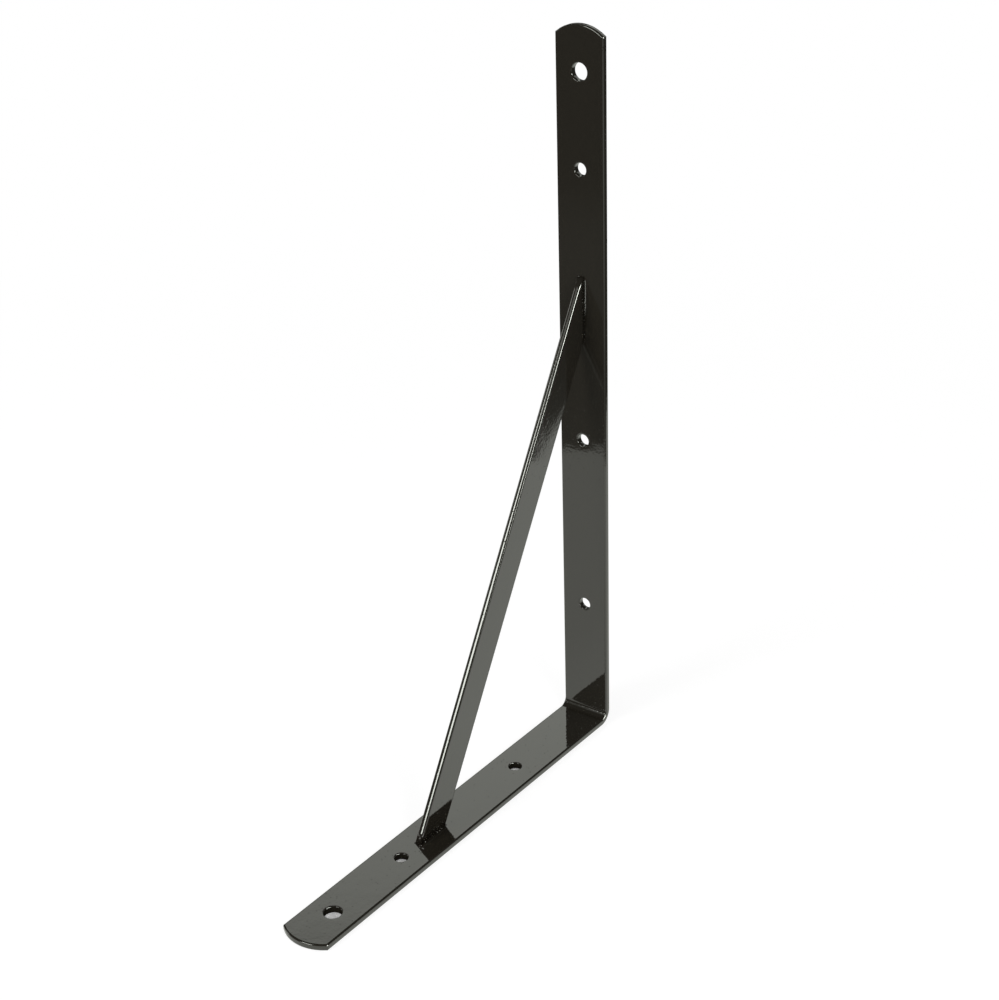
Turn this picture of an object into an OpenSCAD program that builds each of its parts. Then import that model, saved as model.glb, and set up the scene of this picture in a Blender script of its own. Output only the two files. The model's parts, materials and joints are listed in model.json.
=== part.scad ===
// Welded shelf bracket: one flat bar bent into an L, braced by a narrower bar on edge.
// X runs across the bars, the floor arm points along -Y and the upright along +Z.

/* [Strap] */
// Height of the upright, from the underside of the arm to the crown of its rounded end
upright_h = 352; // [320:1:420]
// Reach of the arm, from the wall face to the crown of its rounded end
arm_reach = 225; // [205:1:280]
// Width of the flat bar that is bent into the strap
strap_w = 25.4; // [20:0.1:32]
// Thickness of the strap
strap_t = 3.2; // [2:0.1:4]
// Radius inside the bend
bend_r = 4; // [3:0.5:8]
// Radius of the shallow arc across both free ends
end_r = 20; // [18:0.5:40]
// Rounding of the rolled long edges of both bars
edge_r = 0.5; // [0.2:0.1:0.9]

/* [Holes] */
// Diameter of the screw holes
screw_d = 6.2; // [4:0.1:8]
// Diameter of the larger hole near each free end
end_hole_d = 8.2; // [6:0.1:10]
// Distance of the first screw hole from the heel, on both legs
first_hole = 65; // [50:1:80]
// Distance of the second screw hole from the heel, on both legs
second_hole = 154; // [146:1:160]
// Height of the third screw hole, on the upright only
third_hole = 287; // [270:1:300]
// Distance of the larger hole from the crown of the upright
upright_end_gap = 21; // [16:0.5:24]
// Distance of the larger hole from the crown of the arm
arm_end_gap = 23; // [16:0.5:26]

/* [Brace] */
// Width of the flat bar that stands on edge as the brace
brace_w = 17.2; // [12:0.1:20]
// Thickness of the brace
brace_t = 3.2; // [2:0.1:4]
// Height where the brace's outer edge line meets the inner face of the upright
brace_up = 239; // [225:1:255]
// Distance from the wall face where that edge line meets the top of the arm
brace_out = 142.5; // [120:0.5:145]
// Width of the flat that blunts the sharp upper tip of the brace
tip_flat = 1.5; // [1:0.1:3]

/* [Welds] */
// Radius of one puddle of the weld bead
puddle_r = 1; // [0.8:0.1:2]
// Spacing of the puddles along the bead
puddle_pitch = 1.3; // [1:0.1:2.2]

/* [Hidden] */
paint = [0.13, 0.13, 0.12];
$fn = 64;

// How far a cutter runs past the face that it cuts
past = 1;
outer_r = bend_r + strap_t;
// Angle of the brace from the vertical, and the drop from the sharp tip to its flat
lean = atan2(brace_out - strap_t, brace_up - strap_t);
tip_drop = tip_flat / tan(lean);
// Lengths over which the mitred ends of the brace sit on the upright and on the arm
seat_up = brace_w / sin(lean);
seat_out = brace_w / cos(lean);
brace_top = brace_up - tip_drop;
upright_holes = [first_hole, second_hole, third_hole];
arm_holes = [first_hole, second_hole];

// Section of a rolled flat bar, centred across X, from y = 0 to y = depth
module bar_section(width, depth) {
    translate([-width / 2 + edge_r, 0]) square([width - 2 * edge_r, depth]);
    translate([-width / 2, edge_r]) square([width, depth - 2 * edge_r]);
    for (x = [-1, 1], y = [edge_r, depth - edge_r])
        translate([x * (width / 2 - edge_r), y]) circle(edge_r);
}

// One straight leg of the strap along +Z, its outer face on y = 0 and its end an arc
module leg(length) {
    intersection() {
        translate([0, -strap_t, 0]) linear_extrude(length) bar_section(strap_w, strap_t);
        rotate([90, 0, 0]) linear_extrude(3 * strap_t, center = true) leg_outline(length);
    }
}

// Outline of a leg as a plate: straight sides from the bend, then the arc of the end
module leg_outline(length) {
    translate([-strap_w / 2, outer_r]) square([strap_w, length - end_r - outer_r]);
    translate([0, length - end_r]) intersection() {
        circle(end_r, $fn = 4 * $fn);
        translate([-strap_w / 2, 0]) square([strap_w, end_r]);
    }
}

// The quarter turn of the bar between the two legs
module bend() {
    translate([0, -outer_r, outer_r]) rotate([0, 90, 0]) rotate_extrude(angle = 90)
        translate([bend_r, 0]) rotate(-90) bar_section(strap_w, strap_t);
}

// Lays what is drawn for the upright down onto the arm, as a mirror image across the heel
module on_arm() {
    mirror([0, 1, 1]) children();
}

// A round hole through a leg at a height above the heel
module hole(height, d) {
    translate([0, past, height]) rotate([90, 0, 0]) cylinder(h = strap_t + 2 * past, d = d);
}

// The wider flat bar: two legs, the bend between them and all seven holes
module strap_body() {
    difference() {
        union() {
            leg(upright_h);
            bend();
            on_arm() leg(arm_reach);
        }
        for (h = upright_holes) hole(h, screw_d);
        hole(upright_h - upright_end_gap, end_hole_d);
        on_arm() for (h = arm_holes) hole(h, screw_d);
        on_arm() hole(arm_reach - arm_end_gap, end_hole_d);
    }
}

// The narrow bar on edge, mitred to sit on both legs, with its upper tip blunted
module brace_body() {
    bar_l = (brace_up + brace_out) * 1.2;
    intersection() {
        translate([0, -brace_out, strap_t]) rotate([-lean, 0, 0])
            translate([0, 0, -bar_l / 3]) linear_extrude(bar_l) bar_section(brace_t, brace_w);
        translate([-brace_t, -brace_out - brace_w, strap_t])
            cube([2 * brace_t, brace_out + brace_w - strap_t, brace_top - strap_t]);
    }
}

// A row of puddles on an upright seat, from height z0 to z1, on both sides of the brace
module puddle_row(z0, z1) {
    n = round((z1 - z0) / puddle_pitch);
    for (side = [-1, 1], i = [0:n])
        translate([side * brace_t / 2, -strap_t, z0 + (z1 - z0) * i / n]) sphere(puddle_r);
}

// The bead runs up both sides of the mitre and over the blunt tip
module upper_bead() {
    difference() {
        union() {
            puddle_row(brace_up - seat_up, brace_top);
            translate([0, -strap_t, brace_top]) sphere(puddle_r);
        }
        brace_body();
        translate([-strap_w / 2, -strap_t, 0]) cube([strap_w, strap_t, upright_h]);
    }
}

// The lower bead runs along both sides of the brace's foot on the arm and round its toe
module lower_bead() {
    difference() {
        on_arm() {
            puddle_row(brace_out - seat_out, brace_out);
            translate([0, -strap_t, brace_out]) sphere(puddle_r);
        }
        brace_body();
        translate([-strap_w / 2, -arm_reach, 0]) cube([strap_w, arm_reach, strap_t]);
    }
}

// Moves the heel so that the origin is under the middle of the bracket
module in_frame() {
    translate([0, arm_reach / 2, 0]) children();
}

module strap() { color(paint) in_frame() strap_body(); }
module brace() { color(paint) in_frame() brace_body(); }
module upper_weld() { color(paint) in_frame() upper_bead(); }
module lower_weld() { color(paint) in_frame() lower_bead(); }

strap();
brace();
upper_weld();
lower_weld();
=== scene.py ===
# %% [markdown]
# A shelf bracket, painted black
#
# The real thing is four pieces of steel under one coat of gloss paint. A flat bar is punched
# with seven holes and bent once into an L. A narrower bar stands on edge between its two legs.
# Two small weld beads hold that brace. The CAD frame already carries all four at their true
# sizes, so this script only gives them the skin, edges and finish that a camera sees.

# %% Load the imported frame
import json
import math

import bmesh
import bpy
from mathutils import Matrix, Vector


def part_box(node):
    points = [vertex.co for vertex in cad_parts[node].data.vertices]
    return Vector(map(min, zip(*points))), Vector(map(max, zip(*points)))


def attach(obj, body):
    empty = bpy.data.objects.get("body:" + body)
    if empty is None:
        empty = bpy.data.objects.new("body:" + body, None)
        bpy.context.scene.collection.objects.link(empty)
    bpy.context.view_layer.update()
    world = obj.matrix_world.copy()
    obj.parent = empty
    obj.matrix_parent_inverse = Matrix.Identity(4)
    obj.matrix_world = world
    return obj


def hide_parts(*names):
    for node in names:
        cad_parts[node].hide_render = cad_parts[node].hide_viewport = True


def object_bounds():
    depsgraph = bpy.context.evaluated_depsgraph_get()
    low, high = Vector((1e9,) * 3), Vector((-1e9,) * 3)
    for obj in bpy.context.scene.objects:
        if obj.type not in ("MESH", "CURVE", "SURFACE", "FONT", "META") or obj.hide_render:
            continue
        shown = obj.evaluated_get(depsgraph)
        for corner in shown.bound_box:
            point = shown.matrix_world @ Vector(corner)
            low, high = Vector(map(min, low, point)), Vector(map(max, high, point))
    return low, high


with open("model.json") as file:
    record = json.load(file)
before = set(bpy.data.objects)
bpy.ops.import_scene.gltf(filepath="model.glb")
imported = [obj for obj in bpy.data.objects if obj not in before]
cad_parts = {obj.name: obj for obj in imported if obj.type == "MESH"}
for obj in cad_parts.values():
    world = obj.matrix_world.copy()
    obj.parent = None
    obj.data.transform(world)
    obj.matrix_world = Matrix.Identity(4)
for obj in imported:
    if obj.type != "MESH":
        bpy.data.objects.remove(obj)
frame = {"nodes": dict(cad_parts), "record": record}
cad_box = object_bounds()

print("nodes:", sorted(frame["nodes"]))
print("CAD box:", [round(v, 4) for corner in cad_box for v in corner])

# %% [markdown]
# Measures
#
# A fabricator would write a cutting list and a punching list before touching the steel. All the
# sizes could be typed in, but most are read from the frame instead, so the skin fits the solids
# even if they change. Only the radii and widths that a box can't tell are written here. Blender
# counts in metres.

# %% The cutting list
MM = 0.001
BEAD_SHARE = 0.7

strap_low, strap_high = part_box("strap")
brace_low, brace_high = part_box("brace")
upper_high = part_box("upper_weld")[1]

bar_w = strap_high.x - strap_low.x
bar_t = brace_low.z
wall_y = strap_high.y
upright_len = strap_high.z
arm_len = strap_high.y - strap_low.y
bend_in = 4 * MM
end_r = 20 * MM
bend_out = bend_in + bar_t

brace_t = brace_high.x - brace_low.x
brace_w = 17.2 * MM
tip_flat = 1.5 * MM
bead_r = BEAD_SHARE * (upper_high.x - brace_high.x)
print("bar, mm:", round(bar_w / MM, 2), "by", round(bar_t / MM, 2))
print("brace, mm:", round(brace_w / MM, 2), "by", round(brace_t / MM, 2))

# %% The punching list
mounts = {m["name"]: m for m in frame["record"]["mounts"]}


def hole_list(names, axis, heel):
    """Distance from the heel and radius of each hole that the named mounts describe."""
    holes = []
    for name in names:
        mount = mounts[name]
        dims = mount["dims"]
        middle = abs(mount["pos_m"][axis] - heel)
        count = dims.get("count", 1)
        pitch = dims.get("spacing_y_mm", 0) * MM
        radius = dims.get("hole_r_mm", dims.get("r_mm")) * MM
        for i in range(count):
            holes.append((middle + (i - (count - 1) / 2) * pitch, radius))
    return sorted(holes)


upright_holes = hole_list(["wall_screws", "wall_third_screw", "wall_end_hole"], 2, 0)
arm_holes = hole_list(["shelf_screws", "shelf_end_hole"], 1, wall_y)
print("upright holes, mm:", [(round(d / MM, 1), round(r / MM, 1)) for d, r in upright_holes])
print("arm holes, mm:", [(round(d / MM, 1), round(r / MM, 1)) for d, r in arm_holes])

# %% [markdown]
# The camera
#
# The bracket fills the picture from corner to corner, seen from in front, to its right and from
# above. A camera could be placed by eye. This one was worked out from edges whose real lengths
# are known, because the lens shows in them: a longer lens from further back would draw the two
# edges of a leg more nearly parallel. The picture is rolled a little, as a hand-held one is.

# %% Place the camera
FOCAL_PX = 1961.6
IMAGE_LONG_SIDE_PX = 1000
SENSOR_MM = 36
AZIMUTH, ELEVATION, ROLL = (math.radians(v) for v in (36.877, 26.039, -1.799))
CAMERA_PLACE = Vector((0.4793, -0.5973, 0.5406))
NEAREST, FURTHEST = 0.01, 50

forward = Vector((
    -math.sin(AZIMUTH) * math.cos(ELEVATION),
    math.cos(AZIMUTH) * math.cos(ELEVATION),
    -math.sin(ELEVATION),
))
level_right = Vector((math.cos(AZIMUTH), math.sin(AZIMUTH), 0))
level_up = level_right.cross(forward)
right = math.cos(ROLL) * level_right + math.sin(ROLL) * level_up
up = math.cos(ROLL) * level_up - math.sin(ROLL) * level_right
aimed = Matrix((right, up, -forward)).transposed().to_4x4()

lens = bpy.data.cameras.new("camera")
lens.sensor_width = SENSOR_MM
lens.lens = FOCAL_PX / IMAGE_LONG_SIDE_PX * lens.sensor_width
lens.clip_start, lens.clip_end = NEAREST, FURTHEST
camera = bpy.data.objects.new("camera", lens)
camera.matrix_world = Matrix.Translation(CAMERA_PLACE) @ aimed
bpy.context.scene.collection.objects.link(camera)
bpy.context.scene.camera = camera
bpy.context.scene.view_settings.view_transform = "Standard"
print("lens, mm:", round(lens.lens, 2))

# %% [markdown]
# Helpers for node trees
#
# Shader nodes and geometry nodes are wired the same way. Each could be added, set and linked in
# three lines of its own. One helper does all three instead: it adds a node, sets its options, and
# either links each input or gives it a value. The trees below then read as lists of steps.


# %% Add a node and fill its inputs
def add(tree, kind, inputs=None, **options):
    """Adds a node. inputs maps a socket's name or number to a value or to another socket."""
    made = tree.nodes.new(kind)
    for option, value in options.items():
        setattr(made, option, value)
    for key, value in (inputs or {}).items():
        if isinstance(value, bpy.types.NodeSocket):
            tree.links.new(value, made.inputs[key])
        else:
            made.inputs[key].default_value = value
    return made


def maths(tree, operation, *values):
    """One Math node on sockets or numbers."""
    return add(tree, "ShaderNodeMath", dict(enumerate(values)), operation=operation).outputs[0]


print("helpers:", add.__name__, maths.__name__)


# %% Start a node group, and end a geometry tree
def new_group(name, kind, sockets):
    """A node group with (in_out, name, type, default) sockets, and its two end nodes."""
    tree = bpy.data.node_groups.new(name, kind)
    for in_out, label, socket_type, default in sockets:
        socket = tree.interface.new_socket(label, in_out=in_out, socket_type=socket_type)
        if default is not None:
            socket.default_value = default
    return tree, tree.nodes.new("NodeGroupInput").outputs, tree.nodes.new("NodeGroupOutput").inputs


def end_tree(tree, given, result, geometry):
    """Ends a geometry tree: instances made real, and the given material on them."""
    real = add(tree, "GeometryNodeRealizeInstances", {0: geometry}).outputs[0]
    painted = add(tree, "GeometryNodeSetMaterial", {"Geometry": real, "Material": given["Material"]})
    tree.links.new(painted.outputs[0], result["Geometry"])


print("helpers:", new_group.__name__, end_tree.__name__)


# %% Answer each kind of ray
def by_ray(tree, for_camera, in_gloss, for_rest):
    """One shader for the camera's rays, one for rays sent on by gloss or glass, one for the rest."""
    rays = add(tree, "ShaderNodeLightPath").outputs
    sent_on = maths(tree, "MAXIMUM", rays["Is Glossy Ray"], rays["Is Transmission Ray"])
    unseen = add(tree, "ShaderNodeMixShader", {0: sent_on, 1: for_rest, 2: in_gloss}).outputs[0]
    return add(tree, "ShaderNodeMixShader", {0: rays["Is Camera Ray"], 1: unseen, 2: for_camera}).outputs[0]


print("helper:", by_ray.__name__)

# %% [markdown]
# The room
#
# Gloss black has almost no colour of its own. What the eye reads as its surface is the room in
# its mirror: a white floor near by, pale cards high up behind it, and darkness between them. The
# thin lines along the edges are two bright boxes, one in front and one on the right. Planes with
# a glow could stand for all of these. Here they are soft rectangles painted on the world, which
# cast no shadow and need no place, only a direction. The camera never sees them: where it looks
# past the floor, it meets an even light grey.

# %% Cards of the room
AMBIENT = 0.55
BACKDROP_GREY = (0.8, 0.8, 0.8, 1)
DARK_GLOW = 0.05
CARD_COLOUR = (0.97, 1.0, 0.92, 1)
# Azimuth, elevation, half width, half height, soft rim and roll in degrees, then the level
FRONT_BOX = (-166, 24, 14, 5.5, 3, 12, 13.0)
FRONT_HALO = (-163, 36, 14, 10, 10, 0, 1.0)
RIGHT_BOX = (92, 21, 24, 9, 8, 0, 34.0)
LEFT_CARD = (-108, 13, 7, 8, 4, 0, 2.4)
BACK_CARD = (-43, 32.3, 12, 8, 8, 0, 1.36)
BACK_STRIP = (0, 32, 27, 5, 3, 0, 1.0)
CARDS = (FRONT_BOX, FRONT_HALO, RIGHT_BOX, LEFT_CARD, BACK_CARD, BACK_STRIP)
print("cards in the room:", len(CARDS))

# %% Directions in the room
world = bpy.data.worlds.new("studio_room")
world.use_nodes = True
room = world.node_tree
room.nodes.clear()
direction = add(room, "ShaderNodeTexCoord").outputs["Generated"]


def towards(azimuth, elevation):
    """Unit vector at an azimuth from +Y towards +X and an elevation, both in degrees."""
    a, e = math.radians(azimuth), math.radians(elevation)
    return Vector((math.sin(a) * math.cos(e), math.cos(a) * math.cos(e), math.sin(e)))


def along(axis):
    """How far the direction seen points along an axis."""
    product = add(room, "ShaderNodeVectorMath", {0: direction, 1: axis}, operation="DOT_PRODUCT")
    return product.outputs["Value"]


print("towards the right box:", [round(v, 3) for v in towards(*RIGHT_BOX[:2])])


# %% One card
def within(offset, facing, half_angle, soft):
    """1 within a half angle of the card's middle line, 0 beyond it, with a soft rim between."""
    angle = maths(room, "ABSOLUTE", maths(room, "ARCTAN2", offset, facing))
    return add(room, "ShaderNodeMapRange", {
        "Value": angle,
        "From Min": math.radians(half_angle + soft / 2), "From Max": math.radians(half_angle - soft / 2),
        "To Min": 0.0, "To Max": 1.0,
    }, interpolation_type="SMOOTHSTEP").outputs["Result"]


def card(azimuth, elevation, half_width, half_height, soft, roll, level):
    """Glow of one rectangular card, as a direction sees it."""
    front = towards(azimuth, elevation)
    across = front.cross(Vector((0, 0, 1))).normalized()
    upward = across.cross(front)
    cosine, sine = math.cos(math.radians(roll)), math.sin(math.radians(roll))
    facing = along(front)
    wide = within(along(cosine * across + sine * upward), facing, half_width, soft)
    high = within(along(cosine * upward - sine * across), facing, half_height, soft)
    return maths(room, "MULTIPLY", maths(room, "MULTIPLY", wide, high), level)


glow = DARK_GLOW
for sizes in CARDS:
    glow = maths(room, "ADD", card(*sizes), glow)
print("nodes for the cards:", len(room.nodes))

# %% Join the room
mirrored = add(room, "ShaderNodeBackground", {"Color": CARD_COLOUR, "Strength": glow})
ambient = add(room, "ShaderNodeBackground", {"Color": BACKDROP_GREY, "Strength": AMBIENT})
backdrop = add(room, "ShaderNodeBackground", {"Color": BACKDROP_GREY, "Strength": 1})
seen = by_ray(room, backdrop.outputs[0], mirrored.outputs[0], ambient.outputs[0])
add(room, "ShaderNodeOutputWorld", {"Surface": seen})
bpy.context.scene.world = world
print("room nodes:", len(room.nodes))

# %% [markdown]
# The floor
#
# The bracket stands on white paper, and that paper is also the widest thing in its mirror. Only a
# pool of it near the bracket is bright, with a sharp rim: that pool is painted light, a glow on the
# paper that only mirrored rays see. The lower parts of the brace and the upright show the pool as
# grey, and their upper parts show the dark beyond it. Real lamps on a plain sheet could do this,
# but then the background wouldn't stay white. So the paper answers each kind of ray in its own
# way: the mirror sees the painted pool, and the camera sees white with the bracket's own faint shadow.

# %% Lay the paper
FLOOR_SIDE = 12.0
FLOOR_DROP = 0.2 * MM
PAPER_COLOUR = (0.9, 0.9, 0.9, 1)

half = FLOOR_SIDE / 2
corners = [(x, y, -FLOOR_DROP) for x, y in ((-half, -half), (half, -half), (half, half), (-half, half))]
floor_mesh = bpy.data.meshes.new("floor")
floor_mesh.from_pydata(corners, [], [(0, 1, 2, 3)])
floor = bpy.data.objects.new("floor", floor_mesh)
bpy.context.scene.collection.objects.link(floor)

paper = bpy.data.materials.new("floor_paper")
paper.use_nodes = True
paper_tree = paper.node_tree
paper_tree.nodes.clear()
floor_mesh.materials.append(paper)
floor_place = add(paper_tree, "ShaderNodeTexCoord").outputs["Object"]
floor_xyz = add(paper_tree, "ShaderNodeSeparateXYZ", {0: floor_place}).outputs
print("floor side, m:", FLOOR_SIDE)


# %% A round patch
def disc(middle, radius, soft, level):
    """Glow of a round patch of the floor, which fades out over its soft rim."""
    away = add(paper_tree, "ShaderNodeVectorMath", {0: floor_place, 1: middle}, operation="DISTANCE")
    return add(paper_tree, "ShaderNodeMapRange", {
        "Value": away.outputs["Value"],
        "From Min": radius - soft, "From Max": radius + soft, "To Min": level, "To Max": 0.0,
    }, interpolation_type="SMOOTHSTEP").outputs["Result"]


# Painted light on the paper: round patches of glow that only mirrored rays see
# Middle, radius, half the soft rim, and level
NEAR_POOL = ((0.005, 0.098, 0), 0.321, 0.005, 1.0)
BACK_POOL = ((-0.1137, 0.495, 0), 0.35, 0.005, 1.0)
RIGHT_PATCH = ((1.1, -0.5, 0), 0.8, 0.25, 0.6)
LEFT_SPILL = ((-0.38, -0.45, 0), 0.18, 0.12, 0.07)
RIM_GLOW = ((0.005, 0.098, 0), 0.42, 0.12, 0.07)
print("white pool on the floor, m:", NEAR_POOL[1])

# %% Painted glow of the floor in the mirror
# The pool is dimmer on the left of the arm than on its right, and turns over this far about it
POOL_LEFT, POOL_RIGHT = 0.78, 1.01
POOL_TURN = 0.05

pool = maths(paper_tree, "MAXIMUM", disc(*NEAR_POOL), disc(*BACK_POOL))
side_level = add(paper_tree, "ShaderNodeMapRange", {
    "Value": floor_xyz["X"],
    "From Min": -POOL_TURN, "From Max": POOL_TURN, "To Min": POOL_LEFT, "To Max": POOL_RIGHT,
}).outputs["Result"]
pool_glow = maths(paper_tree, "MULTIPLY_ADD", pool, side_level, DARK_GLOW)
for patch in (RIGHT_PATCH, LEFT_SPILL, RIM_GLOW):
    pool_glow = maths(paper_tree, "ADD", pool_glow, disc(*patch))
print("paper nodes for the glow:", len(paper_tree.nodes))

# %% Shade under the arm, partly painted
FOOTPRINT_INSET = Vector((1 * MM, 5 * MM))
# Middle, radius, half the soft rim, and the share of the lit paper that shows through the white
SHADOW_ZONE = ((0.005, 0.098, 0), 0.5, 0.35, 0.35)
# White added to the lit paper round the bracket, and less of it to the paper seen through the arm's holes,
# which adds painted shade under the arm to its real shading
SHADOW_LIFT = 0.49
HOLE_LIFT = 0.12


def under(axis, reach):
    """1 where the floor lies within reach of the middle along an axis."""
    return maths(paper_tree, "LESS_THAN", maths(paper_tree, "ABSOLUTE", floor_xyz[axis]), reach)


under_x = under("X", bar_w / 2 - FOOTPRINT_INSET.x)
under_y = under("Y", arm_len / 2 - FOOTPRINT_INSET.y)
footprint = maths(paper_tree, "MULTIPLY", under_x, under_y)
# The paper under the arm loses its glow in the mirror: painted shade under the arm
pool_glow = maths(paper_tree, "MULTIPLY", pool_glow, maths(paper_tree, "SUBTRACT", 1.0, footprint))
shadow_zone = maths(paper_tree, "MAXIMUM", footprint, disc(*SHADOW_ZONE))
lift = maths(paper_tree, "MULTIPLY_ADD", footprint, HOLE_LIFT - SHADOW_LIFT, SHADOW_LIFT)
print("paper nodes with the shade:", len(paper_tree.nodes))

# %% What each ray sees of the paper
lit = add(paper_tree, "ShaderNodeBsdfDiffuse", {"Color": PAPER_COLOUR}).outputs[0]
lifted = add(paper_tree, "ShaderNodeEmission", {"Strength": lift}).outputs[0]
shadowed = add(paper_tree, "ShaderNodeAddShader", {0: lit, 1: lifted}).outputs[0]
plain_white = add(paper_tree, "ShaderNodeEmission", {"Strength": 1.0}).outputs[0]
in_mirror = add(paper_tree, "ShaderNodeEmission", {"Color": CARD_COLOUR, "Strength": pool_glow}).outputs[0]
on_view = add(paper_tree, "ShaderNodeMixShader", {0: shadow_zone, 1: plain_white, 2: shadowed}).outputs[0]
add(paper_tree, "ShaderNodeOutputMaterial", {"Surface": by_ray(paper_tree, on_view, in_mirror, lit)})
print("paper nodes:", len(paper_tree.nodes))

# %% [markdown]
# The lamps
#
# Two soft boxes light the real bracket, one in front and one on its right. Two bright spheres or
# a sun could do the same, but their shadows would be harder. The room's cards already stand for
# these boxes in the mirror, so the lamps are hidden from gloss as well as from the camera. They
# only light the paint's own dark colour and the paper, and cast the shadow.

# %% Hang the two soft boxes
LAMP_DISTANCE = 1.6
# Blender shares an area lamp's power out over four times its area
POWER_SHARE = 4


def softbox(name, azimuth, elevation, half_angles, radiance):
    """A rectangular lamp aimed at the bracket: its half angles from there, and its radiance."""
    aim = (cad_box[0] + cad_box[1]) / 2
    back = towards(azimuth, elevation)
    lamp = bpy.data.lights.new(name, "AREA")
    lamp.shape = "RECTANGLE"
    lamp.size, lamp.size_y = (2 * LAMP_DISTANCE * math.tan(math.radians(v)) for v in half_angles)
    lamp.energy = POWER_SHARE * radiance * lamp.size * lamp.size_y
    holder = bpy.data.objects.new(name, lamp)
    turned = back.to_track_quat("Z", "Y").to_matrix().to_4x4()
    holder.matrix_world = Matrix.Translation(aim + back * LAMP_DISTANCE) @ turned
    holder.visible_camera = False
    holder.visible_glossy = False
    bpy.context.scene.collection.objects.link(holder)
    print(name, "power, W:", round(lamp.energy, 1))


softbox("front_box", azimuth=199, elevation=20, half_angles=(11, 5), radiance=13)
softbox("side_box", azimuth=117, elevation=24, half_angles=(10, 6), radiance=8)

# %% [markdown]
# The paint
#
# Enamel on such a bracket is dipped or sprayed thick. It levels into a gloss, but keeps a fine
# orange peel, a slow waviness from the rolled steel below, here and there a nib where dust was
# caught, and a rougher grain along the arrises. The heights are hundredths of a millimetre: on a
# mirror that is enough to fray a reflection. All of them are bump, because geometry that fine
# would cost millions of faces and look the same.

# %% Shared effect: the skin of sprayed enamel
enamel_skin, given, result = new_group("enamel_skin", "ShaderNodeTree", [
    ("INPUT", "Peel Size", "NodeSocketFloat", 1.2 * MM),
    ("INPUT", "Peel Height", "NodeSocketFloat", 0.014 * MM),
    ("INPUT", "Wave Size", "NodeSocketFloat", 9 * MM),
    ("INPUT", "Wave Height", "NodeSocketFloat", 0.03 * MM),
    ("INPUT", "Nib Spacing", "NodeSocketFloat", 2.5 * MM),
    ("INPUT", "Nib Radius", "NodeSocketFloat", 0.38 * MM),
    ("INPUT", "Nib Height", "NodeSocketFloat", 0.034 * MM),
    ("INPUT", "Arris", "NodeSocketFloat", 0.0),
    ("INPUT", "Arris Grain", "NodeSocketFloat", 0.5 * MM),
    ("INPUT", "Arris Height", "NodeSocketFloat", 0.014 * MM),
    ("OUTPUT", "Height", "NodeSocketFloat", None),
])
skin_place = add(enamel_skin, "ShaderNodeTexCoord").outputs["Object"]
print("inputs of the skin:", len(given) - 1)


# %% Lumps and nibs
def noise_height(size, height, detail):
    """Noise whose lumps have the given size, scaled to the given height in metres."""
    scale = maths(enamel_skin, "DIVIDE", 1.0, size)
    noise = add(enamel_skin, "ShaderNodeTexNoise", {"Vector": skin_place, "Scale": scale, "Detail": detail})
    return maths(enamel_skin, "MULTIPLY", noise.outputs["Fac"], height)


def nib_height(spacing, radius, height):
    """Round nibs of dust, about a spacing apart, wherever the surface cuts one of them."""
    scale = maths(enamel_skin, "DIVIDE", 1.0, spacing)
    cells = add(enamel_skin, "ShaderNodeTexVoronoi", {"Vector": skin_place, "Scale": scale})
    reach = maths(enamel_skin, "DIVIDE", radius, spacing)
    return add(enamel_skin, "ShaderNodeMapRange", {
        "Value": cells.outputs["Distance"],
        "From Min": reach, "From Max": 0.0, "To Min": 0.0, "To Max": height,
    }, interpolation_type="SMOOTHSTEP").outputs["Result"]


peel = noise_height(given["Peel Size"], given["Peel Height"], detail=2.0)
wave = noise_height(given["Wave Size"], given["Wave Height"], detail=1.0)
nibs = nib_height(given["Nib Spacing"], given["Nib Radius"], given["Nib Height"])
grain = noise_height(given["Arris Grain"], given["Arris Height"], detail=1.0)
edge_grain = maths(enamel_skin, "MULTIPLY", grain, given["Arris"])
level_skin = maths(enamel_skin, "ADD", peel, wave)
spots = maths(enamel_skin, "ADD", nibs, edge_grain)
enamel_skin.links.new(maths(enamel_skin, "ADD", level_skin, spots), result["Height"])
print("enamel skin nodes:", len(enamel_skin.nodes))

# %% The two paints
BLACK = (0.0180, 0.0158, 0.0117)
PAINT_IOR = 1.66


def enamel(name, roughness, shine, skin):
    """Black gloss enamel. skin gives the enamel_skin group's own values."""
    material = bpy.data.materials.new(name)
    material.use_nodes = True
    tree = material.node_tree
    paint = tree.nodes["Principled BSDF"].inputs
    arris = add(tree, "ShaderNodeAttribute", attribute_name="arris").outputs["Fac"]
    group = add(tree, "ShaderNodeGroup", {"Arris": arris, **skin}, node_tree=enamel_skin)
    height = group.outputs["Height"]
    bump = add(tree, "ShaderNodeBump", {"Strength": 1.0, "Distance": 1.0, "Height": height})
    tree.links.new(bump.outputs["Normal"], paint["Normal"])
    paint["Base Color"].default_value = (*BLACK, 1)
    paint["Roughness"].default_value = roughness
    paint["IOR"].default_value = PAINT_IOR
    paint["Specular IOR Level"].default_value = shine
    return material


gloss_paint = enamel("gloss_paint", roughness=0.03, shine=0.5, skin={})
weld_paint = enamel("weld_paint", roughness=0.12, shine=0.22, skin={"Peel Height": 0.03 * MM})
print("paints:", gloss_paint.name, weld_paint.name)

# %% [markdown]
# The edge of a rolled bar
#
# Flat bar comes from the mill with a slightly crowned edge between two small corner radii. Paint
# rounds it a little more. That crown is what turns a bright box into a thin line, where a flat
# edge would show one even grey. A Bevel modifier could round the corners, but not crown the
# edge. So the profile is written as three arcs that meet smoothly: corner, crown, corner. It
# runs all round the strap and along both long edges of the brace.

# %% Three tangent arcs
CORNER_R = 0.85 * MM
BRACE_CROWN_R = 3.0 * MM
STRAP_CROWN_R = 60 * MM
FLAT_MARGIN = 0.15 * MM
CORNER_STEPS, CROWN_STEPS = 5, 6


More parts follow.
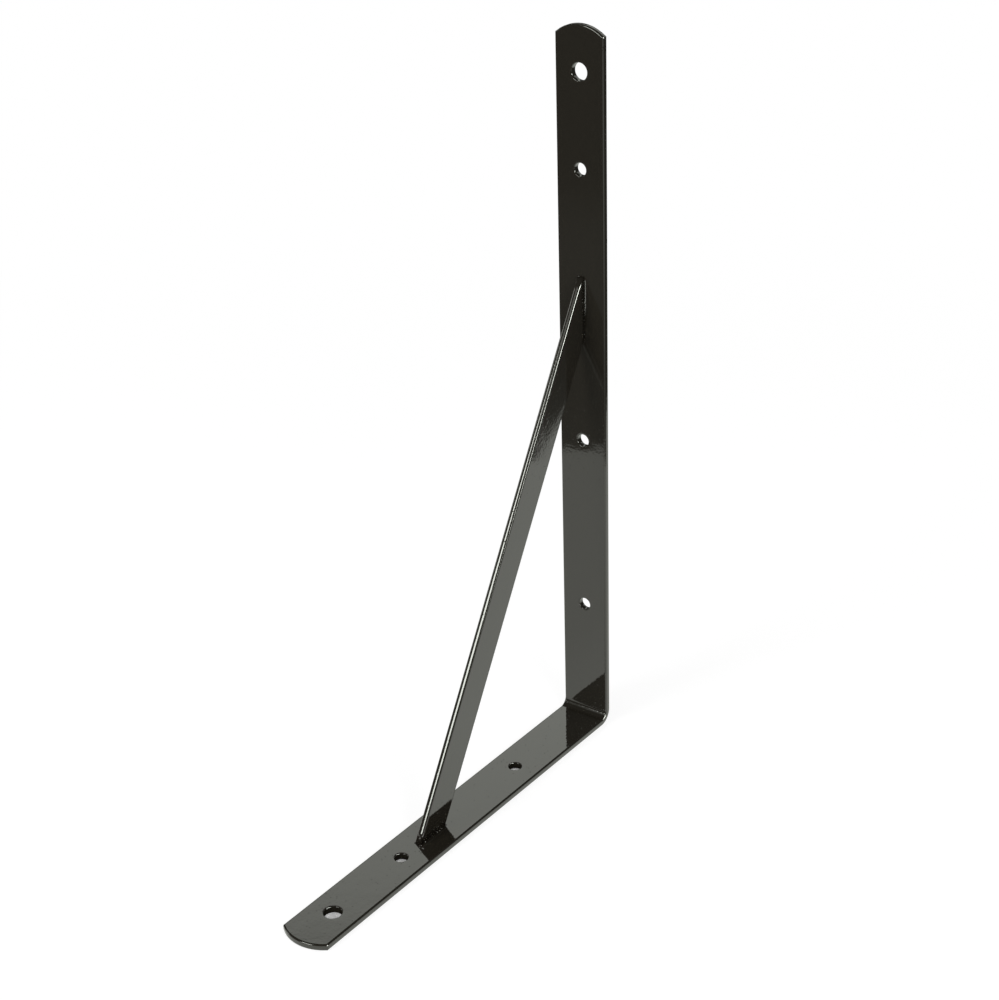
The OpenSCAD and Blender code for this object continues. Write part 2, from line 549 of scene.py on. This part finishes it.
def rolled_edge(thickness, crown_r):
    """(inset from the crown, height above mid thickness) from the upper flat to the lower one."""
    lift = thickness / 2 - CORNER_R
    turn = math.asin(lift / (crown_r - CORNER_R))
    corner_in = crown_r - (crown_r - CORNER_R) * math.cos(turn)
    steps = [math.pi / 2 + (turn - math.pi / 2) * i / CORNER_STEPS for i in range(CORNER_STEPS)]
    upper = [(corner_in - CORNER_R * math.cos(a), lift + CORNER_R * math.sin(a)) for a in steps]
    angles = [turn - 2 * turn * i / CROWN_STEPS for i in range(CROWN_STEPS + 1)]
    crown = [(crown_r * (1 - math.cos(a)), crown_r * math.sin(a)) for a in angles]
    lower = [(inset, -rise) for inset, rise in reversed(upper)]
    margin = (corner_in + FLAT_MARGIN, thickness / 2)
    return [margin] + upper + crown + lower + [(margin[0], -margin[1])]


edge = rolled_edge(bar_t, STRAP_CROWN_R)
edge_in = edge[0][0]
print("edge profile points:", len(edge), "inset, mm:", round(edge_in / MM, 3))

# %% Where the paint is rough
CROWN_ARRIS = 0.35
NEARLY = 0.01 * MM


def arris_share(point, profile):
    """How much rough paint a profile's point carries: 1 on a corner, less on the crown."""
    crown_end = profile[1 + CORNER_STEPS][1]
    if point in (profile[0], profile[-1]):
        return 0.0
    return 1.0 if abs(point[1]) > crown_end - NEARLY else CROWN_ARRIS


print("rough paint round the edge:", [arris_share(point, edge) for point in edge])

# %% [markdown]
# The punched blank
#
# The strap starts as a flat, straight blank: cropped ends, seven round holes, no bend. It could be
# cut from a box with booleans, but they leave long thin faces that ripple a mirror. A grid that is
# laid round the holes from the start keeps every face a clean quad. The blank's own frame has X
# across the bar, Y along it with zero at the middle of the bend, and Z through its thickness,
# from the outer face up to the inner one.

# %% Columns across the blank
# Each hole is cut from a square patch of the grid
PATCH_ROWS = 10
PATCH_HALF = 7.5 * MM
# A narrow strip beside the rolled edge keeps the shading of the flat face level
CORNER_GUARD = 0.25 * MM

flat_half = bar_w / 2 - edge_in
beside_holes = [flat_half, flat_half - CORNER_GUARD, (flat_half - CORNER_GUARD + PATCH_HALF) / 2]
over_holes = [PATCH_HALF * (2 * i / PATCH_ROWS - 1) for i in range(PATCH_ROWS + 1)]
columns = [-x for x in beside_holes] + over_holes + beside_holes[::-1]
last_column = len(columns) - 1
patch_from = len(beside_holes)
patch_to = patch_from + PATCH_ROWS
print("columns, mm:", [round(x / MM, 2) for x in columns])

# %% Rows along each leg
ROW_STEP = 3 * MM


def spread(start, end, count):
    """Even stations after start up to end."""
    return [start + (end - start) * (i + 1) / count for i in range(count)]


def leg_stations(holes, length):
    """Distances from the tangent of the bend, the first row and radius of each hole, the end."""
    rows, hole_rows = [0.0], []
    for distance, radius in holes:
        centre = distance - bend_out
        gap = centre - PATCH_HALF - rows[-1]
        rows += spread(rows[-1], centre - PATCH_HALF, max(1, math.ceil(gap / ROW_STEP)))
        hole_rows.append((len(rows) - 1, radius))
        rows += spread(centre - PATCH_HALF, centre + PATCH_HALF, PATCH_ROWS)
    return rows, hole_rows, length - bend_out


upright_rows, upright_patches, upright_end = leg_stations(upright_holes, upright_len)
arm_rows, arm_patches, arm_end = leg_stations(arm_holes, arm_len)
print("rows on the upright and the arm:", len(upright_rows), len(arm_rows))

# %% Grid of each leg, whose outer rows follow the cropped end
END_ROWS = 6


def crop_arc(x, length, radius):
    """How far along the leg a point of the end arc lies."""
    return length - end_r + math.sqrt(radius ** 2 - x ** 2)


def leg_grid(rows, length):
    """Rows of plan points of one leg, from the bend to the cropped end."""
    grid = [[(x, s) for x in columns] for s in rows]
    last = rows[-1]
    inner_r = end_r - edge_in
    guard = 1 - CORNER_GUARD / (crop_arc(flat_half, length, inner_r) - last)
    for share in [guard * k / END_ROWS for k in range(1, END_ROWS + 1)] + [1.0]:
        grid.append([(x, last + (crop_arc(x, length, inner_r) - last) * share) for x in columns])
    return grid


upright_grid = leg_grid(upright_rows, upright_end)
arm_grid = leg_grid(arm_rows, arm_end)
print("grid rows on the upright and the arm:", len(upright_grid), len(arm_grid))

# %% Plan of the whole blank
BEND_ROWS = 20

bend_len = math.pi / 2 * (bend_in + bar_t / 2)
bend_grid = [[(x, bend_len * (k / BEND_ROWS - 0.5)) for x in columns] for k in range(1, BEND_ROWS)]
plan = [[(x, -s - bend_len / 2) for x, s in row] for row in reversed(arm_grid)]
first_upright_row = len(plan) + len(bend_grid)
plan += bend_grid + [[(x, s + bend_len / 2) for x, s in row] for row in upright_grid]
top_row = len(plan) - 1

patches = [(first_upright_row + row, radius) for row, radius in upright_patches]
patches += [(len(arm_grid) - 1 - row - PATCH_ROWS, radius) for row, radius in arm_patches]
print("plan rows:", len(plan), "patches:", len(patches))


# %% The outline of the plan, inside and out
def loop(low_row, high_row, low_column, high_column):
    """(row, column) once round a rectangle of the grid, from its lower left corner to the right."""
    way = [(low_row, c) for c in range(low_column, high_column)]
    way += [(r, high_column) for r in range(low_row, high_row)]
    way += [(high_row, c) for c in range(high_column, low_column, -1)]
    return way + [(r, low_column) for r in range(high_row, low_row, -1)]


def outermost(r, c):
    """The point of the crown beyond a point on the rim of the plan."""
    x, y = plan[r][c]
    if r not in (0, top_row):
        return math.copysign(bar_w / 2, x), y
    length = (upright_end if r == top_row else arm_end) + bend_len / 2
    outer_x = x / flat_half * bar_w / 2
    outer_y = crop_arc(outer_x, length, end_r)
    return outer_x, outer_y if r == top_row else -outer_y


outline = [(key, outermost(*key)) for key in loop(0, top_row, 0, last_column)]
print("outline points:", len(outline))

# %% [markdown]
# The punched holes
#
# A punched hole isn't sharp under paint. Where the punch entered, the rim rolls over widely; where
# it left, the rim is tighter. The steel round both is very slightly dished. A bevel would round
# both rims alike. The rings below start on a square of the grid and turn into a circle, then
# follow each rim's own radius down the wall to the other face.

# %% Rim of a punched hole
ENTRY_RIM_R, EXIT_RIM_R = 0.45 * MM, 0.15 * MM
RIM_STEPS = 5
DISH = 0.008 * MM
DISH_WIDTH = 0.9 * MM
RIM_ARRIS = 0.3


def hole_profile(radius):
    """(distance from the hole's axis, height above mid thickness) from the top face down."""
    flat = bar_t / 2
    sides = []
    for rim_r in (ENTRY_RIM_R, EXIT_RIM_R):
        rim = [(radius + DISH_WIDTH + rim_r, flat), (radius + DISH_WIDTH / 2 + rim_r, flat - DISH / 3)]
        for i in range(RIM_STEPS + 1):
            a = math.pi / 2 * i / RIM_STEPS
            rim.append((radius + rim_r * (1 - math.sin(a)), flat - DISH - rim_r * (1 - math.cos(a))))
        sides.append(rim)
    entry, leaving = sides
    return entry + [(r, -z) for r, z in reversed(leaving)]


print("rings in a hole:", len(hole_profile(upright_holes[0][1])))


# %% The two faces of the blank
def inside_patches(first):
    """(row, column) inside each hole's patch: its squares from 0 on, or its inner points from 1."""
    inside = range(first, PATCH_ROWS)
    return {(r0 + r, patch_from + c) for r0, _ in patches for r in inside for c in inside}


def lay_sheet(bm, z, facing):
    """One flat face of the blank, left open where the holes go. Returns its points by key."""
    drilled, buried = inside_patches(0), inside_patches(1)
    sheet = {}
    for r, row in enumerate(plan):
        for c, (x, y) in enumerate(row):
            if (r, c) not in buried:
                sheet[r, c] = bm.verts.new((x, y, z))
    for r in range(top_row):
        for c in range(last_column):
            if (r, c) not in drilled:
                quad = [sheet[r, c], sheet[r, c + 1], sheet[r + 1, c + 1], sheet[r + 1, c]]
                bm.faces.new(quad[::facing])
    return sheet


print("squares left open:", len(inside_patches(0)))


# %% The edge and the holes
# A ring starts at the lower left corner of its square, three eighths of a turn back from +X
FIRST_CORNER = 3 / 8


def bridge(bm, rings, facing=1):
    """Quads between each ring and the next. A facing of -1 turns them over."""
    for ring_a, ring_b in zip(rings, rings[1:]):
        for i in range(len(ring_a)):
            j = (i + 1) % len(ring_a)
            bm.faces.new((ring_a[i], ring_a[j], ring_b[j], ring_b[i])[::facing])


def edge_rings(bm, arris):
    """Rings of the rolled edge round the outline, from the top face down."""
    rings = []
    for inset, rise in edge[1:-1]:
        share = 1 - inset / edge_in
        ring = []
        for (r, c), (ox, oy) in outline:
            x, y = plan[r][c]
            ring.append(bm.verts.new((x + (ox - x) * share, y + (oy - y) * share, bar_t / 2 + rise)))
            ring[-1][arris] = arris_share((inset, rise), edge)
        rings.append(ring)
    return rings


def hole_rings(bm, arris, centre_y, radius, count):
    """Rings of count points down one hole, from the top face down."""
    rings = []
    for ring_r, rise in hole_profile(radius):
        ring = []
        for i in range(count):
            a = math.tau * (i / count - FIRST_CORNER)
            x, y = ring_r * math.cos(a), centre_y + ring_r * math.sin(a)
            ring.append(bm.verts.new((x, y, bar_t / 2 + rise)))
            ring[-1][arris] = RIM_ARRIS if ring_r < radius + EXIT_RIM_R else 0.0
        rings.append(ring)
    return rings


print("rings round the edge:", len(edge) - 2)


# %% Build the blank
def as_piece(bm, name):
    """Turns a bmesh into an object. Quads are shaded smooth, and any larger face stays flat."""
    mesh = bpy.data.meshes.new(name)
    bm.to_mesh(mesh)
    bm.free()
    mesh.polygons.foreach_set("use_smooth", [len(p.vertices) == 4 for p in mesh.polygons])
    made = bpy.data.objects.new(name, mesh)
    bpy.context.scene.collection.objects.link(made)
    return made


def build_blank(name):
    """The flat blank as one closed mesh of quads."""
    bm = bmesh.new()
    arris = bm.verts.layers.float.new("arris")
    inner, outer = lay_sheet(bm, bar_t, 1), lay_sheet(bm, 0.0, -1)
    rim = [key for key, _ in outline]
    rings = [[inner[key] for key in rim]] + edge_rings(bm, arris) + [[outer[key] for key in rim]]
    bridge(bm, rings, facing=-1)
    for r0, radius in patches:
        r1 = r0 + PATCH_ROWS
        square = loop(r0, r1, patch_from, patch_to)
        centre_y = (plan[r0][0][1] + plan[r1][0][1]) / 2
        wall = hole_rings(bm, arris, centre_y, radius, len(square))
        bridge(bm, [[inner[key] for key in square]] + wall + [[outer[key] for key in square]])
    return as_piece(bm, name)


strap_bar = build_blank("strap_bar")
print("blank faces:", len(strap_bar.data.polygons))

# %% [markdown]
# The press brake
#
# On the shop floor one stroke of a press brake turns the blank into the L. The same stroke is a
# rule: points near the middle swing round the bend's centre, and the legs beyond it only turn
# and shift. That rule fits geometry nodes well, with the bend's radius as a named input, so the
# blank can be bent tighter or wider without touching its mesh.


# %% Bend by rule
def press_brake():
    """Geometry nodes that bend a flat blank round the X axis by a quarter turn."""
    tree, given, result = new_group("press_brake", "GeometryNodeTree", [
        ("INPUT", "Geometry", "NodeSocketGeometry", None),
        ("INPUT", "Inside Radius", "NodeSocketFloat", bend_in),
        ("INPUT", "Thickness", "NodeSocketFloat", bar_t),
        ("INPUT", "Bend Length", "NodeSocketFloat", bend_len),
        ("INPUT", "Wall Plane", "NodeSocketFloat", wall_y),
        ("INPUT", "Material", "NodeSocketMaterial", None),
        ("OUTPUT", "Geometry", "NodeSocketGeometry", None),
    ])
    position = add(tree, "GeometryNodeInputPosition").outputs[0]
    part = add(tree, "ShaderNodeSeparateXYZ", {0: position}).outputs
    half_bend = maths(tree, "MULTIPLY", given["Bend Length"], 0.5)
    before = maths(tree, "MULTIPLY", half_bend, -1.0)
    angle = add(tree, "ShaderNodeMapRange", {
        "Value": part["Y"], "From Min": before, "From Max": half_bend, "To Min": 0.0, "To Max": math.pi / 2,
    }).outputs["Result"]
    in_bend = add(tree, "ShaderNodeClamp", {"Value": part["Y"], "Min": before, "Max": half_bend}).outputs[0]
    past_bend = maths(tree, "SUBTRACT", part["Y"], in_bend)
    outer = maths(tree, "ADD", given["Inside Radius"], given["Thickness"])
    radius = maths(tree, "SUBTRACT", outer, part["Z"])
    sine, cosine = maths(tree, "SINE", angle), maths(tree, "COSINE", angle)
    centre_y = maths(tree, "SUBTRACT", given["Wall Plane"], outer)
    swing_y = maths(tree, "MULTIPLY_ADD", radius, sine, centre_y)
    y = maths(tree, "MULTIPLY_ADD", past_bend, cosine, swing_y)
    swing_z = maths(tree, "SUBTRACT", outer, maths(tree, "MULTIPLY", radius, cosine))
    z = maths(tree, "MULTIPLY_ADD", past_bend, sine, swing_z)
    bent = add(tree, "ShaderNodeCombineXYZ", {"X": part["X"], "Y": y, "Z": z}).outputs[0]
    moved = add(tree, "GeometryNodeSetPosition", {"Geometry": given["Geometry"], "Position": bent})
    end_tree(tree, given, result, moved.outputs[0])
    return tree


brake_tree = press_brake()
print("press brake nodes:", len(brake_tree.nodes))


# %% Run the stroke
def plain_mesh(piece):
    """Keeps what a piece's modifiers make of it as its own mesh, shaded smooth."""
    evaluated = piece.evaluated_get(bpy.context.evaluated_depsgraph_get())
    mesh = bpy.data.meshes.new_from_object(evaluated)
    piece.modifiers.clear()
    piece.data = mesh
    mesh.polygons.foreach_set("use_smooth", [True] * len(mesh.polygons))


def run_nodes(piece, tree, material):
    """Runs a geometry tree on a piece, with a material for its Material input."""
    modifier = piece.modifiers.new(tree.name, "NODES")
    modifier.node_group = tree
    for item in tree.interface.items_tree:
        if item.in_out == "INPUT" and item.name == "Material":
            modifier[item.identifier] = material
    plain_mesh(piece)


run_nodes(strap_bar, brake_tree, gloss_paint)
print("strap, mm:", [round(v / MM, 2) for v in strap_bar.dimensions])

# %% [markdown]
# The brace
#
# The brace is the same kind of rolled bar, sawn at two mitres so that it sits flat on both legs.
# Its sharp upper tip is blunted. It could be a long bar that two boolean cuts shorten. Here each
# point of the bar's section runs along the bar from the arm to the upright instead, so the mesh
# is a bundle of straight lines between the two mitre planes, and the cut ends are exact.

# %% Section and mitres
seat_y = brace_high.y
toe_y = brace_low.y
brace_top = brace_high.z
lean = math.atan2(seat_y - toe_y - tip_flat, brace_top - bar_t)
tip_depth = tip_flat * math.cos(lean)
brace_edge = rolled_edge(brace_t, BRACE_CROWN_R)


def brace_section():
    """Closed loop of (x, distance from the outer edge line) round the bar."""
    outer = [(rise, inset) for inset, rise in brace_edge]
    inner = [(-rise, brace_w - inset) for inset, rise in brace_edge]
    return outer + [(-brace_t / 2, tip_depth)] + inner + [(brace_t / 2, tip_depth)]


def along_brace(depth, share):
    """(y, z) of a point on the line at that depth from the outer edge, from the arm to its end."""
    foot_y = toe_y + depth / math.cos(lean)
    top_z = min(brace_top, bar_t + (seat_y - foot_y) / math.tan(lean))
    z = bar_t + (top_z - bar_t) * share
    return foot_y + (z - bar_t) * math.tan(lean), z


section = brace_section()
print("lean, degrees:", round(math.degrees(lean), 2), "section points:", len(section))

# %% Build the brace
BRACE_RINGS = 48


def build_brace(name):
    """The brace as rings of its section, closed by the foot, the upper seat and the blunt tip."""
    bm = bmesh.new()
    arris = bm.verts.layers.float.new("arris")
    on_edge = [arris_share(point, brace_edge) for point in brace_edge] + [0.0]
    rings = []
    for k in range(BRACE_RINGS + 1):
        rings.append([bm.verts.new((x, *along_brace(depth, k / BRACE_RINGS))) for x, depth in section])
        for vert, share in zip(rings[-1], on_edge + on_edge):
            vert[arris] = share
    bridge(bm, rings)
    bm.faces.new(rings[0][::-1])
    bm.faces.new([v for v, (_, depth) in zip(rings[-1], section) if depth < tip_depth + NEARLY])
    bm.faces.new([v for v, (_, depth) in zip(rings[-1], section) if depth > tip_depth - NEARLY])
    bmesh.ops.recalc_face_normals(bm, faces=bm.faces)
    return as_piece(bm, name)


brace_bar = build_brace("brace_bar")
brace_bar.data.materials.append(gloss_paint)
print("brace, mm:", [round(v / MM, 2) for v in brace_bar.dimensions])

# %% [markdown]
# The welds
#
# Each end of the brace is held by a small bead that runs down both sides of the joint. A weld is
# laid as a row of puddles, each frozen over the one before. It could be sculpted, or drawn as a
# bent tube. But a tube looks extruded, so the bead is one puddle repeated along the joint, each
# time of another size and mostly small, then melted together by a remesh.

# %% Puddles along a joint
PUDDLE_PITCH = 1.7 * MM
PUDDLE_SMOOTHNESS = 3
SMALL_BIAS = 2.0
CORE_SIDES = 12


def puddle_row():
    """Geometry nodes that set rounded puddles along the edges of a path, on a thin core."""
    tree, given, result = new_group("puddle_row", "GeometryNodeTree", [
        ("INPUT", "Geometry", "NodeSocketGeometry", None),
        ("INPUT", "Puddle Radius", "NodeSocketFloat", bead_r),
        ("INPUT", "Core Share", "NodeSocketFloat", 0.05),
        ("INPUT", "Pitch", "NodeSocketFloat", PUDDLE_PITCH),
        ("INPUT", "Variation", "NodeSocketFloat", 0.75),
        ("INPUT", "Seed", "NodeSocketInt", 7),
        ("INPUT", "Material", "NodeSocketMaterial", None),
        ("OUTPUT", "Geometry", "NodeSocketGeometry", None),
    ])
    path = add(tree, "GeometryNodeMeshToCurve", {0: given["Geometry"]}).outputs[0]
    stops = add(tree, "GeometryNodeResampleCurve", {"Curve": path, "Length": given["Pitch"]}, mode="LENGTH")
    smallest = maths(tree, "SUBTRACT", 1.0, given["Variation"])
    size = add(tree, "FunctionNodeRandomValue", {
        "Seed": given["Seed"], 2: smallest, 3: 1.0,
    }, data_type="FLOAT").outputs[1]
    mostly_small = maths(tree, "POWER", size, SMALL_BIAS)
    ball = add(tree, "GeometryNodeMeshIcoSphere", {
        "Radius": given["Puddle Radius"], "Subdivisions": PUDDLE_SMOOTHNESS,
    })
    placed = add(tree, "GeometryNodeInstanceOnPoints", {
        "Points": stops.outputs[0], "Instance": ball.outputs[0], "Scale": mostly_small,
    })
    core_r = maths(tree, "MULTIPLY", given["Puddle Radius"], given["Core Share"])
    ring = add(tree, "GeometryNodeCurvePrimitiveCircle", {"Resolution": CORE_SIDES, "Radius": core_r})
    core = add(tree, "GeometryNodeCurveToMesh", {
        "Curve": path, "Profile Curve": ring.outputs[0], "Fill Caps": True,
    })
    both = add(tree, "GeometryNodeJoinGeometry")
    for laid in (placed, core):
        tree.links.new(laid.outputs[0], both.inputs[0])
    end_tree(tree, given, result, both.outputs[0])
    return tree


weld_tree = puddle_row()
print("puddle row nodes:", len(weld_tree.nodes))

# %% Melt the puddles together
FUSE_VOXEL = 0.12 * MM
MELT_STEPS = 3


def weld_bead(name, paths):
    """A fused bead along one or more lists of points."""
    points, steps = [], []
    for path in paths:
        steps += [(len(points) + i, len(points) + i + 1) for i in range(len(path) - 1)]
        points += path
    mesh = bpy.data.meshes.new(name)
    mesh.from_pydata(points, steps, [])
    bead = bpy.data.objects.new(name, mesh)
    bpy.context.scene.collection.objects.link(bead)
    run_nodes(bead, weld_tree, weld_paint)
    fuse = bead.modifiers.new("fuse", "REMESH")
    fuse.mode = "VOXEL"
    fuse.voxel_size = FUSE_VOXEL
    fuse.use_smooth_shade = True
    melt = bead.modifiers.new("melt", "SMOOTH")
    melt.iterations = MELT_STEPS
    plain_mesh(bead)
    bead.data.materials.clear()
    bead.data.materials.append(weld_paint)
    return bead


print("voxel of the melt, mm:", FUSE_VOXEL / MM)

# %% Lay both beads
side = brace_t / 2
seat_low = brace_top - (brace_w - tip_depth) / math.sin(lean)
foot_in = toe_y + brace_w / math.cos(lean)
foot_out = toe_y + bead_r

over_the_tip = [(-side, seat_low), (-side, brace_top), (side, brace_top), (side, seat_low)]
upper_bead = weld_bead("upper_bead", [[(x, seat_y, z) for x, z in over_the_tip]])
lower_bead = weld_bead("lower_bead", [[(x, foot_in, bar_t), (x, foot_out, bar_t)] for x in (-side, side)])
print("bead faces:", len(upper_bead.data.polygons), len(lower_bead.data.polygons))

# %% [markdown]
# Handing over
#
# Each piece now stands where its solid stands. It rides on the bracket's one body and takes the
# place of its own solid in the picture. The solids stay in the frame, hidden, for weight and
# collisions.

# %% Hand the pieces to the frame
for piece, node, finish in (
    (strap_bar, "strap", "gloss_paint"),
    (brace_bar, "brace", "gloss_paint"),
    (upper_bead, "upper_weld", "weld_paint"),
    (lower_bead, "lower_weld", "weld_paint"),
):
    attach(piece, "root")
    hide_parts(node)
    print(piece.name, "stands for", node)
